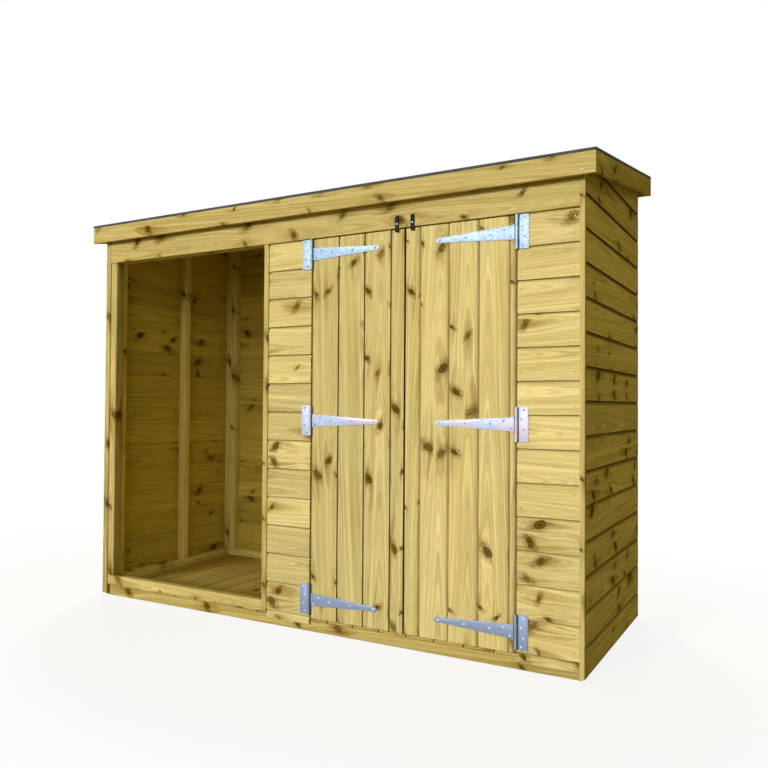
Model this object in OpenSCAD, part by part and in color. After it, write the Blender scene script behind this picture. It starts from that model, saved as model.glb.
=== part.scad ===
// Garden log store of treated pine, with a pent roof that rises to the back.
// An open log bay stands at the left and a closed store with two ledged doors at the right.
// Millimetres. The origin is the middle of the footprint at ground level and the front faces -Y.

/* [Footprint] */
// Width over the cladding of the two side walls
store_w = 2400; // [2200:10:2700]
// Depth over the cladding of the front and back walls
store_d = 930; // [800:10:1200]

/* [Base] */
// Height of the bearers under the floor
bearer_h = 44; // [38:1:75]
// Width of each bearer, front to back
bearer_w = 47; // [38:1:75]
// Number of bearers, front to back
bearer_count = 3; // [3:1:5]
// Thickness of the floor boards
floor_t = 12; // [9:1:22]
// Height of the side and back cladding's lower edge above the ground
skirt_z = 10; // [5:1:30]
// Height of the front panels' lower edge above the ground
panel_z = 32; // [12:1:40]

/* [Walls] */
// Thickness of the cladding boards
clad_t = 12; // [9:1:19]
// Width of a stud along its wall
stud_w = 36; // [28:1:47]
// Depth of the studs and rails behind the cladding
stud_d = 44; // [38:1:60]
// Height of the bottom and top rails
rail_h = 36; // [28:1:60]
// Middle studs of the side walls, centre behind the store's centre
mid_stud_y = 50; // [-100:1:100]
// Stud spaces of the back wall behind the bay
bay_spaces = 2; // [1:1:3]
// Stud spaces of the back wall behind the closed store
room_spaces = 3; // [2:1:5]

/* [Front] */
// Height of the lintel's underside above the ground
lintel_z = 1653; // [1500:1:1800]
// Thickness of the lintel and of the corner trims
trim_t = 17; // [16:1:22]
// Width of the left corner trim
left_trim_w = 30; // [16:1:40]
// Width of the bay's left post
bay_post_w = 40; // [30:1:60]
// Height of the bay's sill
sill_h = 44; // [30:1:70]
// Width of the trim at the bay's right edge
bay_trim_w = 25; // [16:1:40]
// Width of the clad panel between the bay and the doors
middle_panel_w = 223; // [180:1:300]
// Width of the clad panel at the right of the doors
right_panel_w = 228; // [180:1:300]
// Width of the right corner trim
right_trim_w = 18; // [14:1:40]

/* [Roof] */
// Pitch of the roof in degrees
roof_pitch = 9.3; // [5:0.1:15]
// Height of the front fascia's underside above the lintel's underside
eave_rise = 98; // [80:1:160]
// Overhang of the roof past the cladding on every side
overhang = 48; // [40:1:90]
// Height of the fascia boards
fascia_h = 76; // [60:1:120]
// Thickness of the fascia boards
fascia_t = 16; // [12:1:20]
// Thickness of the roof boards
deck_t = 10; // [9:1:20]
// Thickness of the roofing felt
felt_t = 2; // [1:0.5:4]
// Height of the battens under the roof boards
batten_h = 44; // [34:1:60]

/* [Doors] */
// Distance from the doorway's left side to the line where the doors meet
left_leaf_w = 447; // [380:1:520]
// Distance from the line where the doors meet to the doorway's right side
right_leaf_w = 462; // [380:1:520]
// Gap between the doors where they meet
meeting_gap = 7; // [5:1:10]
// Gap between each door and the panel that it hangs from
hinge_gap = 4; // [3:1:6]
// Gap over the doors
door_head_gap = 5; // [5:1:10]
// Gap between the doors and the floor
door_floor_gap = 5; // [5:1:12]
// Height of the ledges behind the door boards
ledge_h = 70; // [50:1:95]
// Thickness of the ledges and braces
ledge_t = 22; // [16:1:32]
// Distance of the ledges' ends from the edges of the door
ledge_inset = 16; // [10:1:30]
// Width of the diagonal braces
brace_w = 60; // [40:1:80]

/* [Hinges] */
// Height of the lowest hinges above the ground
hinge_low_z = 138; // [130:1:200]
// Height of the middle hinges above the ground
hinge_mid_z = 885; // [700:1:1000]
// Distance of the upper hinges below the lintel's underside
hinge_head_drop = 67; // [66:1:150]
// Length of the strap from the hinge's axis to its tip
strap_l = 326; // [250:1:360]
// Height of the strap at its root
strap_root_h = 53; // [40:1:60]
// Height of the strap at its rounded tip
strap_tip_h = 18; // [12:1:24]
// Height of the fixed plate
plate_h = 126; // [100:1:130]
// Width of the fixed plate from the hinge's axis
plate_w = 45; // [30:1:60]
// Thickness of the hinge leaves
leaf_t = 3; // [2:0.5:4]
// Outer radius of the hinge's barrel
barrel_r = 5.5; // [5:0.5:8]
// Radius of the hinge pin
pin_r = 3; // [2.5:0.5:3.5]

/* [Turn buttons] */
// Length of a turn button
button_l = 64; // [50:1:64]
// Width of a turn button
button_w = 17; // [14:1:24]
// Thickness of a turn button
button_t = 3; // [2:0.5:5]
// Distance between the two buttons' screws
button_spacing = 69; // [69:1:100]
// Height of the buttons' screws above the lintel's underside
button_rise = 16; // [12:1:20]
// Radius of the button screw's shank
screw_r = 2.5; // [2:0.5:3]
// Radius of the button screw's head
screw_head_r = 4.5; // [4:0.5:6]

/* [Hidden] */
$fn = 48;

// Running clearances at pins, screws and knuckles, and the barrels' clearance from the boards
pin_fit = 0.08;
knuckle_gap = 0.4;
button_gap = 0.3;
barrel_lift = 0.3;
notch_gap = 0.5;
screw_head_t = 2;

// Clearance where sloping faces seat on each other
seat_gap = 0.05;

// Outer faces of the cladding and of the frame behind it
half_w = store_w / 2;
half_d = store_d / 2;
frame_w = half_w - clad_t;
frame_d = half_d - clad_t;
inner_w = frame_w - stud_d;
inner_d = frame_d - stud_d;

// Front and back faces of the trims, posts and rails in the front wall
trim_y = -frame_d - trim_t;
face_y = -half_d;
front_y = -frame_d;
post_back_y = face_y + stud_d;

// Levels of the floor and of the rails on it
floor_z = bearer_h + floor_t;
rail_z = floor_z + rail_h;
sill_z = floor_z + sill_h;

// Roof planes: the underside of the roof boards at any depth y
roof_edge_x = half_w + overhang;
roof_edge_y = half_d + overhang;
deck_edge_x = roof_edge_x - felt_t;
deck_edge_y = roof_edge_y - felt_t;
eave_z = lintel_z + eave_rise;
roof_slope = tan(roof_pitch);
function roof_z(y) = eave_z + fascia_h + (y + roof_edge_y) * roof_slope;

// Places along the front: the trims, panels and doors from the right corner,
// the bay's post from the left one, and the log bay over the width between them
right_x1 = half_w - right_trim_w;
right_x0 = right_x1 - right_panel_w;
meeting_x = right_x0 - right_leaf_w;
middle_x1 = meeting_x - left_leaf_w;
middle_x0 = middle_x1 - middle_panel_w;
bay_x1 = middle_x0 - bay_trim_w;
post_x = -half_w + left_trim_w;
bay_x0 = post_x + bay_post_w;

// The wall between the bay and the closed store, with its boards on the store's side,
// and the clear lengths at its left and right
bay_clad_x0 = bay_x1 + stud_d;
bay_clad_x1 = bay_clad_x0 + clad_t;
clear_spans = [[-inner_w, bay_x1], [bay_clad_x1, inner_w]];

// Back wall studs: evenly spaced over the bay and over the closed store
corner_x = inner_w - stud_w / 2;
divider_x = bay_x1 + stud_d / 2;
back_stud_x = concat(
    [for (i = [0 : bay_spaces - 1]) -corner_x + i * (divider_x + corner_x) / bay_spaces],
    [for (i = [0 : room_spaces]) divider_x + i * (corner_x - divider_x) / room_spaces]
);

// Doors and their hinges
door_z0 = floor_z + door_floor_gap;
door_z1 = lintel_z - door_head_gap;
left_door_x0 = middle_x1 + hinge_gap;
left_door_x1 = meeting_x - meeting_gap / 2;
right_door_x0 = meeting_x + meeting_gap / 2;
right_door_x1 = right_x0 - hinge_gap;
left_axis_x = middle_x1 + hinge_gap / 2;
right_axis_x = right_x0 - hinge_gap / 2;
axis_y = face_y - barrel_r - barrel_lift;
hinge_z = [hinge_low_z, hinge_mid_z, lintel_z - hinge_head_drop];
button_z = lintel_z + button_rise;

// A box between two opposite corners
module box(low, high) {
    translate(low)
        cube(high - low);
}

// A bar along X with the given outline of depth and height
module bar_x(x0, x1, outline) {
    translate([x0, 0, 0])
        rotate([90, 0, 90])
            linear_extrude(x1 - x0)
                polygon(outline);
}

// An upright piece from level z0 to a plane that lies drop below the roof boards
module up_to_roof(x0, x1, y0, y1, z0, drop = seat_gap) {
    bar_x(x0, x1, [[y0, z0], [y1, z0], [y1, roof_z(y1) - drop], [y0, roof_z(y0) - drop]]);
}

// A piece that follows the roof's slope, between two planes above or below the roof boards' underside
module along_roof(x0, x1, y0, y1, low, high) {
    bar_x(x0, x1, [
        [y0, roof_z(y0) + low], [y1, roof_z(y1) + low],
        [y1, roof_z(y1) + high], [y0, roof_z(y0) + high]
    ]);
}

// A flat piece of sheet or board cut to a 2D outline of X and Z, with its back on the plane y
module plate_xz(y, thickness) {
    translate([0, y, 0])
        rotate([90, 0, 0])
            linear_extrude(thickness)
                children();
}

// Base

module floor_bearers() {
    pitch = (2 * frame_d - bearer_w) / (bearer_count - 1);
    color("burlywood")
        for (i = [0 : bearer_count - 1])
            translate([-frame_w, -frame_d + i * pitch, 0])
                cube([2 * frame_w, bearer_w, bearer_h]);
}

module floor_deck() {
    color("tan")
        box([-frame_w, -frame_d, bearer_h], [frame_w, frame_d, floor_z]);
}

// Walls

// Cladding of one side wall, on the right
module side_cladding() {
    up_to_roof(frame_w, half_w, -frame_d, frame_d, skirt_z);
}

// Studs of one side wall, on the right, with the front stud's front face at front
module side_studs(front) {
    for (y = [front, mid_stud_y - stud_w / 2, frame_d - stud_w])
        up_to_roof(inner_w, frame_w, y, y + stud_w, rail_z, rail_h + seat_gap);
}

// Bottom and top rails of one side wall, on the right, from front to the back wall
module side_rails(front) {
    box([inner_w, front, floor_z], [frame_w, frame_d, rail_z]);
    along_roof(inner_w, frame_w, front, frame_d, -rail_h, -seat_gap);
}

module left_wall_cladding() {
    color("darkkhaki")
        mirror([1, 0, 0])
            side_cladding();
}

module left_wall_studs() {
    color("burlywood")
        mirror([1, 0, 0])
            side_studs(post_back_y);
}

module left_wall_rails() {
    color("burlywood")
        mirror([1, 0, 0])
            side_rails(post_back_y);
}

module right_wall_cladding() {
    color("darkkhaki")
        side_cladding();
}

module right_wall_studs() {
    color("burlywood")
        side_studs(front_y);
}

module right_wall_rails() {
    color("burlywood")
        side_rails(front_y);
}

module back_wall_cladding() {
    color("darkkhaki")
        up_to_roof(-half_w, half_w, frame_d, half_d, skirt_z);
}

module back_wall_studs() {
    color("burlywood")
        for (x = back_stud_x)
            up_to_roof(x - stud_w / 2, x + stud_w / 2, inner_d, frame_d, rail_z, rail_h + seat_gap);
}

module back_wall_rails() {
    color("burlywood") {
        box([-inner_w, inner_d, floor_z], [inner_w, frame_d, rail_z]);
        along_roof(-inner_w, inner_w, inner_d, frame_d, -rail_h, -seat_gap);
    }
}

module bay_wall_cladding() {
    color("darkkhaki")
        up_to_roof(bay_clad_x0, bay_clad_x1, front_y, inner_d, floor_z);
}

module bay_wall_studs() {
    color("burlywood")
        for (y = [front_y, mid_stud_y - stud_w / 2, inner_d - stud_w])
            up_to_roof(bay_x1, bay_clad_x0, y, y + stud_w, rail_z, rail_h + seat_gap);
}

module bay_wall_rails() {
    color("burlywood") {
        box([bay_x1, front_y, floor_z], [bay_clad_x0, inner_d, rail_z]);
        along_roof(bay_x1, bay_clad_x0, front_y, inner_d, -rail_h, -seat_gap);
    }
}

// Front

module bay_sill() {
    color("wheat")
        box([post_x, face_y, floor_z], [bay_x1, post_back_y, sill_z]);
}

module bay_post() {
    color("burlywood")
        box([post_x, face_y, sill_z], [bay_x0, post_back_y, lintel_z]);
}

module bay_edge_trim() {
    color("wheat")
        box([bay_x1, trim_y, floor_z], [middle_x0, front_y, lintel_z]);
}

module left_corner_trim() {
    color("burlywood")
        up_to_roof(-half_w, post_x, trim_y, front_y, skirt_z);
}

module right_corner_trim() {
    color("burlywood")
        up_to_roof(right_x1, half_w, trim_y, front_y, skirt_z);
}

module middle_front_panel() {
    color("burlywood")
        box([middle_x0, face_y, panel_z], [middle_x1, front_y, lintel_z]);
}

module right_front_panel() {
    color("burlywood")
        box([right_x0, face_y, panel_z], [right_x1, front_y, lintel_z]);
}

module door_jamb_studs() {
    color("burlywood")
        for (x = [middle_x1 - stud_w, right_x0])
            box([x, front_y, floor_z], [x + stud_w, front_y + stud_d, lintel_z]);
}

module front_lintel() {
    color("burlywood")
        up_to_roof(post_x, right_x1, trim_y, front_y, lintel_z);
}

module front_top_rail() {
    color("peru")
        for (span = clear_spans)
            box([span[0], front_y, lintel_z], [span[1], front_y + stud_d, lintel_z + rail_h]);
}

// Roof

module roof_battens() {
    color("peru")
        for (span = clear_spans)
            for (y = [front_y, mid_stud_y - stud_w / 2])
                along_roof(span[0], span[1], y, y + stud_w, -batten_h, -seat_gap);
}

module roof_deck() {
    color("peru")
        along_roof(-deck_edge_x, deck_edge_x, -deck_edge_y, deck_edge_y, 0, deck_t);
}

module roof_felt() {
    color("dimgray")
        difference() {
            along_roof(-roof_edge_x, roof_edge_x, -roof_edge_y, roof_edge_y, 0, deck_t + felt_t);
            along_roof(-deck_edge_x, deck_edge_x, -deck_edge_y, deck_edge_y, -deck_t, deck_t);
        }
}

// A fascia board across the front or the back, between two depths, hung under the roof boards
module cross_fascia(y0, y1, low_z) {
    up_to_roof(-roof_edge_x, roof_edge_x, y0, y1, low_z);
}

// A fascia board along one side, on the right
module side_fascia() {
    reach = roof_edge_y - fascia_t;
    along_roof(roof_edge_x - fascia_t, roof_edge_x, -reach, reach, -fascia_h, -seat_gap);
}

module front_fascia() {
    color("burlywood")
        cross_fascia(-roof_edge_y, fascia_t - roof_edge_y, eave_z);
}

module rear_fascia() {
    color("burlywood")
        cross_fascia(roof_edge_y - fascia_t, roof_edge_y, roof_z(roof_edge_y) - fascia_h);
}

module left_fascia() {
    color("burlywood")
        mirror([1, 0, 0])
            side_fascia();
}

module right_fascia() {
    color("burlywood")
        side_fascia();
}

// Hinges, drawn about an axis at x = 0, with the strap towards side: 1 for +X, -1 for -X

// The fixed leaf with its upper and lower knuckles and the pin
module hinge_plate(side) {
    knuckle_h = (plate_h - strap_root_h) / 2 - knuckle_gap;
    notch_x = -side * (barrel_r + notch_gap);
    notch_z = strap_root_h / 2 + knuckle_gap;
    plate_xz(face_y, leaf_t)
        polygon([
            [0, -plate_h / 2], [0, -notch_z], [notch_x, -notch_z], [notch_x, notch_z], [0, notch_z],
            [0, plate_h / 2], [-side * plate_w, plate_h / 2], [-side * plate_w, -plate_h / 2]
        ]);
    for (z = [-plate_h / 2, plate_h / 2 - knuckle_h])
        translate([0, axis_y, z])
            cylinder(r = barrel_r, h = knuckle_h);
    translate([0, axis_y, -plate_h / 2])
        cylinder(r = pin_r, h = plate_h);
}

// The tapered strap with its knuckle round the pin
module hinge_strap(side) {
    tip_r = strap_tip_h / 2;
    tip_x = side * (strap_l - tip_r);
    difference() {
        union() {
            plate_xz(face_y, leaf_t) {
                polygon([[0, -strap_root_h / 2], [tip_x, -tip_r], [tip_x, tip_r], [0, strap_root_h / 2]]);
                translate([tip_x, 0])
                    circle(r = tip_r);
            }
            translate([0, axis_y, -strap_root_h / 2])
                cylinder(r = barrel_r, h = strap_root_h);
        }
        translate([0, axis_y, -strap_root_h])
            cylinder(r = pin_r + pin_fit, h = 2 * strap_root_h);
    }
}

// The hinges of one door
module hung_at(axis_x) {
    for (z = hinge_z)
        translate([axis_x, 0, z])
            children();
}

module left_hinge_plates() {
    color("lightsteelblue")
        hung_at(left_axis_x)
            hinge_plate(1);
}

module right_hinge_plates() {
    color("lightsteelblue")
        hung_at(right_axis_x)
            hinge_plate(-1);
}

module left_hinge_straps() {
    color("lightsteelblue")
        hung_at(left_axis_x)
            hinge_strap(1);
}

module right_hinge_straps() {
    color("lightsteelblue")
        hung_at(right_axis_x)
            hinge_strap(-1);
}

// Doors

module door_boards(x0, x1) {
    box([x0, face_y, door_z0], [x1, front_y, door_z1]);
}

// Three ledges across the back of the boards, one behind each strap
module door_ledges(x0, x1) {
    ledge_l = x1 - x0 - 2 * ledge_inset;
    for (z = hinge_z)
        translate([x0 + ledge_inset, front_y, z - ledge_h / 2])
            cube([ledge_l, ledge_t, ledge_h]);
}

// A brace between each two ledges, rising from the hinge side
module door_braces(hinge_x, free_x) {
    side = sign(free_x - hinge_x);
    foot = hinge_x + side * ledge_inset;
    head = free_x - side * ledge_inset;
    for (i = [0 : len(hinge_z) - 2])
        plate_xz(front_y + ledge_t, ledge_t)
            polygon([
                [foot, hinge_z[i] + ledge_h / 2], [foot + side * brace_w, hinge_z[i] + ledge_h / 2],
                [head, hinge_z[i + 1] - ledge_h / 2], [head - side * brace_w, hinge_z[i + 1] - ledge_h / 2]
            ]);
}

module left_door_boards() {
    color("wheat")
        door_boards(left_door_x0, left_door_x1);
}

module left_door_ledges() {
    color("burlywood")
        door_ledges(left_door_x0, left_door_x1);
}

module left_door_braces() {
    color("burlywood")
        door_braces(left_door_x0, left_door_x1);
}

module right_door_boards() {
    color("wheat")
        door_boards(right_door_x0, right_door_x1);
}

module right_door_ledges() {
    color("burlywood")
        door_ledges(right_door_x0, right_door_x1);
}

module right_door_braces() {
    color("burlywood")
        door_braces(right_door_x1, right_door_x0);
}

// Turn buttons

// Places a piece at a button's screw, on the lintel's face, at the left (-1) or right (1) of the meeting line
module at_button(side) {
    translate([meeting_x + side * button_spacing / 2, 0, button_z])
        children();
}

module turn_button() {
    straight = button_l - button_w;
    plate_xz(trim_y - button_gap, button_t)
        difference() {
            union() {
                square([button_w, straight], center = true);
                for (z = [-straight / 2, straight / 2])
                    translate([0, z])
                        circle(d = button_w);
            }
            circle(r = screw_r + pin_fit);
        }
}

module button_screw() {
    shank = 2 * button_gap + button_t;
    plate_xz(trim_y, shank)
        circle(r = screw_r);
    plate_xz(trim_y - shank, screw_head_t)
        circle(r = screw_head_r);
}

module button_screws() {
    color("silver")
        for (side = [-1, 1])
            at_button(side)
                button_screw();
}

module left_turn_button() {
    color("black")
        at_button(-1)
            turn_button();
}

module right_turn_button() {
    color("black")
        at_button(1)
            turn_button();
}

floor_bearers();
floor_deck();
left_wall_cladding();
left_wall_studs();
left_wall_rails();
right_wall_cladding();
right_wall_studs();
right_wall_rails();
back_wall_cladding();
back_wall_studs();
back_wall_rails();
bay_wall_cladding();
bay_wall_studs();
bay_wall_rails();
bay_sill();
bay_post();
bay_edge_trim();
left_corner_trim();
right_corner_trim();
middle_front_panel();
right_front_panel();
door_jamb_studs();
front_lintel();
front_top_rail();
roof_battens();
roof_deck();
roof_felt();
front_fascia();
rear_fascia();
left_fascia();
right_fascia();
left_hinge_plates();
right_hinge_plates();
left_door_boards();
left_door_ledges();
left_door_braces();
left_hinge_straps();
right_door_boards();
right_door_ledges();
right_door_braces();
right_hinge_straps();
button_screws();
left_turn_button();
right_turn_button();
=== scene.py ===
import math
import random

import bpy
import numpy as np
from mathutils import Matrix, Vector


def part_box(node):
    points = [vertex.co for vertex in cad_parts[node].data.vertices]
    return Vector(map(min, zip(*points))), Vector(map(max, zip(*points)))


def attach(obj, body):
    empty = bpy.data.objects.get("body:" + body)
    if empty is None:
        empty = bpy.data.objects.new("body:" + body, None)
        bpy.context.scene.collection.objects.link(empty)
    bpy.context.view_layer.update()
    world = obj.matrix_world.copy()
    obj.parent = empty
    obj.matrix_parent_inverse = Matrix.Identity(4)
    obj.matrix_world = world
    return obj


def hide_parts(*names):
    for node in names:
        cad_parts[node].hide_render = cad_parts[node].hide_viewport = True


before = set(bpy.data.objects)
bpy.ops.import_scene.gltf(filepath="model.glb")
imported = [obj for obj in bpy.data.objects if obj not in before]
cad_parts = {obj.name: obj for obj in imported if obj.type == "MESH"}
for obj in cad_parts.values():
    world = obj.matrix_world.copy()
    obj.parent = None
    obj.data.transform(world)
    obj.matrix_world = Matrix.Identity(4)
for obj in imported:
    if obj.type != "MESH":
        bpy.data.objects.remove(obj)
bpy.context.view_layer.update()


# Ground bearers
# Three lengths of sawn treated pine lie on the ground along the whole width of the store.
# They are dipped in a preservative that leaves the wood yellow with a green cast.

def paint(red, green, blue):
    """A colour given as it looks on a screen, 0 to 255, turned into the shader's own scale."""
    def level(c):
        c /= 255
        return c / 12.92 if c <= 0.04045 else ((c + 0.055) / 1.055) ** 2.4
    return (level(red), level(green), level(blue), 1)


class Finish:
    """A material under construction, with short ways to add and join its nodes."""

    def __init__(self, name):
        self.material = bpy.data.materials.new(name)
        self.material.use_nodes = True
        self.tree = self.material.node_tree
        self.shader = self.tree.nodes["Principled BSDF"]

    def node(self, kind, **settings):
        made = self.tree.nodes.new(kind)
        for key, value in settings.items():
            setattr(made, key, value)
        return made

    def put(self, socket, value):
        if isinstance(value, bpy.types.NodeSocket):
            self.tree.links.new(value, socket)
        else:
            socket.default_value = value

    def coat(self, name, value):
        """Set or link one of the shader's own sockets."""
        self.put(self.shader.inputs[name], value)

    def place(self):
        """Where a point of the piece is, in the store's own frame."""
        return self.node("ShaderNodeTexCoord").outputs["Object"]

    def attribute(self, name, output):
        return self.node("ShaderNodeAttribute", attribute_name=name).outputs[output]

    def math(self, operation, *values):
        made = self.node("ShaderNodeMath", operation=operation)
        for socket, value in zip(made.inputs, values):
            self.put(socket, value)
        return made.outputs[0]

    def vector(self, operation, *values):
        made = self.node("ShaderNodeVectorMath", operation=operation)
        for socket, value in zip(made.inputs, values):
            self.put(socket, value)
        return made.outputs["Value" if operation == "LENGTH" else "Vector"]

    def times(self, vector, factor):
        made = self.node("ShaderNodeVectorMath", operation="SCALE")
        self.put(made.inputs[0], vector)
        self.put(made.inputs["Scale"], factor)
        return made.outputs["Vector"]

    def axes(self, vector):
        made = self.node("ShaderNodeSeparateXYZ")
        self.put(made.inputs[0], vector)
        return made.outputs

    def point(self, x, y, z):
        made = self.node("ShaderNodeCombineXYZ")
        for socket, value in zip(made.inputs, (x, y, z)):
            self.put(socket, value)
        return made.outputs[0]

    def fade(self, value, start, end, low=0.0, high=1.0):
        """A soft step: low at start, high at end."""
        made = self.node("ShaderNodeMapRange", interpolation_type="SMOOTHSTEP")
        for socket, given in zip(made.inputs, (value, start, end, low, high)):
            self.put(socket, given)
        return made.outputs["Result"]

    def noise(self, vector, scale=1.0, detail=2.0, roughness=0.5, output="Fac"):
        made = self.node("ShaderNodeTexNoise")
        self.put(made.inputs["Vector"], vector)
        made.inputs["Scale"].default_value = scale
        made.inputs["Detail"].default_value = detail
        made.inputs["Roughness"].default_value = roughness
        return made.outputs[output]

    def mix(self, share, first, second, blend="MIX"):
        made = self.node("ShaderNodeMix", data_type="RGBA", blend_type=blend)
        self.put(made.inputs["Factor"], share)
        self.put(made.inputs["A"], first)
        self.put(made.inputs["B"], second)
        return made.outputs["Result"]

    def bump(self, height, depth, strength):
        made = self.node("ShaderNodeBump")
        made.inputs["Strength"].default_value = strength
        made.inputs["Distance"].default_value = depth
        self.put(made.inputs["Height"], height)
        self.coat("Normal", made.outputs["Normal"])


# what shows of one board, which is also the strip in which the grain is laid out
BOARD_PITCH = 0.122
WHORL_SPACING = 0.25
KNOT_R, KNOT_SPREAD = 0.0042, 0.0120
PITH_DEPTH, RING_SLANT = 0.022, 0.035


def treated_pine(name, pale, deep, knot_share):
    """Treated pine, flat sawn: tongues of growth rings, and ringed or torn knots in pairs."""
    wood = Finish(name)
    grain = wood.attribute("grain", "Vector")
    tone = wood.attribute("tone", "Fac")
    along, across, through = wood.axes(grain)

    # a whorl of knots at some places along the board, one knot to each half of its width
    cell = (WHORL_SPACING, BOARD_PITCH / 2, 1.0)
    scaled = wood.vector("DIVIDE", grain, cell)
    cells = wood.node("ShaderNodeTexVoronoi", voronoi_dimensions="2D", feature="F1")
    borders = wood.node("ShaderNodeTexVoronoi", voronoi_dimensions="2D", feature="DISTANCE_TO_EDGE")
    for texture in (cells, borders):
        wood.put(texture.inputs["Vector"], scaled)
        texture.inputs["Scale"].default_value = 1.0
        texture.inputs["Randomness"].default_value = 0.62
    knot_place = wood.axes(cells.outputs["Position"])
    whorl = wood.node("ShaderNodeTexWhiteNoise", noise_dimensions="1D")
    wood.put(whorl.inputs["W"], wood.math("FLOOR", knot_place["X"]))
    chance = wood.node("ShaderNodeSeparateColor")
    wood.put(chance.inputs[0], cells.outputs["Color"])
    present = wood.math("MULTIPLY", wood.math("LESS_THAN", whorl.outputs["Value"], knot_share),
                        wood.math("LESS_THAN", chance.outputs["Red"], 0.80))
    inside = wood.math("MULTIPLY", present, wood.fade(borders.outputs["Distance"], 0.0, 0.16))
    radius = wood.math("POWER", chance.outputs["Green"], 1.5)
    radius = wood.math("MULTIPLY_ADD", radius, KNOT_SPREAD, KNOT_R)

    # each knot slants away from the middle of the board, with a torn outline
    away = wood.vector("MULTIPLY", wood.vector("SUBTRACT", scaled, cells.outputs["Position"]),
                       (cell[0], cell[1], 0.0))
    away_along, away_across, _ = wood.axes(away)
    half = wood.math("MODULO", wood.math("FLOOR", knot_place["Y"]), 2.0)
    outward = wood.math("MULTIPLY", away_across, wood.math("MULTIPLY_ADD", half, 2.0, -1.0))
    slant = wood.math("MULTIPLY_ADD", chance.outputs["Blue"], 0.7, 0.45)
    sine, cosine = wood.math("SINE", slant), wood.math("COSINE", slant)
    branch = wood.point(wood.math("ADD", wood.math("MULTIPLY", away_along, cosine),
                                  wood.math("MULTIPLY", outward, sine)),
                        wood.math("SUBTRACT", wood.math("MULTIPLY", outward, cosine),
                                  wood.math("MULTIPLY", away_along, sine)), 0.0)
    ragged = wood.noise(grain, 62, 4, 0.66, "Color")
    ragged = wood.vector("SUBTRACT", ragged, (0.5, 0.5, 0.5))
    ragged = wood.vector("MULTIPLY", ragged, (0.026, 0.018, 0.0))
    tear = wood.times(ragged, wood.math("MULTIPLY_ADD", chance.outputs["Blue"], 0.45, 0.15))
    oval = wood.vector("MULTIPLY", wood.vector("ADD", branch, tear), (0.66, 1, 0))
    core_way = wood.math("DIVIDE", wood.vector("LENGTH", oval), radius)
    core = wood.math("MULTIPLY", wood.fade(core_way, 1.15, 0.75), present)
    rings = wood.math("SINE", wood.math("MULTIPLY", core_way, 13.0))
    rim = wood.math("MAXIMUM", wood.fade(core_way, 0.55, 0.95), wood.fade(core_way, 0.35, 0.10))
    rim = wood.math("MULTIPLY_ADD", rings, 0.14, wood.math("MULTIPLY", rim, 0.86))
    wide = wood.vector("ADD", branch, ragged)
    halo_way = wood.vector("LENGTH", wood.vector("MULTIPLY", wide, (0.44, 1, 0)))
    halo = wood.fade(halo_way, wood.math("MULTIPLY", radius, 2.6), wood.math("MULTIPLY", radius, 0.6))
    halo = wood.math("MULTIPLY", halo, inside)
    wisps = wood.vector("ADD", wood.vector("MULTIPLY", branch, (38, 300, 1)), grain)
    wisps = wood.noise(wisps, 1.0, 3, 0.6)
    swell = wood.fade(wood.vector("LENGTH", wood.vector("MULTIPLY", away, (0.30, 1, 0))),
                      wood.math("MULTIPLY", radius, 5.0), 0.0)
    swell = wood.math("MULTIPLY", swell, inside)

    # growth rings cut flat: wide tongues up the middle of a board, close straight lines at its edges
    drift = wood.noise(wood.vector("MULTIPLY", grain, (1.1, 9, 9)), 1.0, 1.0)
    pushed = wood.math("MULTIPLY", away_across, wood.math("MULTIPLY", swell, -0.8))
    sideways = wood.math("ADD", wood.math("MULTIPLY_ADD", drift, 0.022, across), pushed)
    strip = wood.math("FLOOR", wood.math("DIVIDE", across, BOARD_PITCH))
    log = wood.node("ShaderNodeTexWhiteNoise", noise_dimensions="1D")
    wood.put(log.inputs["W"], strip)
    pith = wood.math("ADD", strip, wood.fade(log.outputs["Value"], 0, 1, 0.1, 0.9))
    pith = wood.math("MULTIPLY", pith, BOARD_PITCH)
    from_pith = wood.vector("LENGTH", wood.point(0.0, wood.math("SUBTRACT", sideways, pith), PITH_DEPTH))
    ring = wood.math("MULTIPLY_ADD", along, RING_SLANT, from_pith)
    ring = wood.math("ADD", ring, wood.math("MULTIPLY", strip, 0.7))
    flow = wood.point(along, ring, through)
    bands = wood.noise(wood.vector("MULTIPLY", flow, (0.6, 105, 50)), 1.0, 5.0, 0.7)
    bands = wood.fade(bands, 0.30, 0.74)
    lines = wood.noise(wood.vector("MULTIPLY", flow, (1.4, 240, 120)), 1.0, 2.0, 0.6)
    lines = wood.fade(lines, 0.36, 0.64)
    streaks = wood.noise(wood.vector("MULTIPLY", flow, (0.5, 34, 24)), 1.0, 3.0, 0.6)
    fibres = wood.noise(wood.vector("MULTIPLY", flow, (12, 620, 450)), 1.0, 3.0, 0.65)
    patches = wood.noise(wood.vector("MULTIPLY", grain, (2.2, 7, 7)), 1.0, 2.0)

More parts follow.
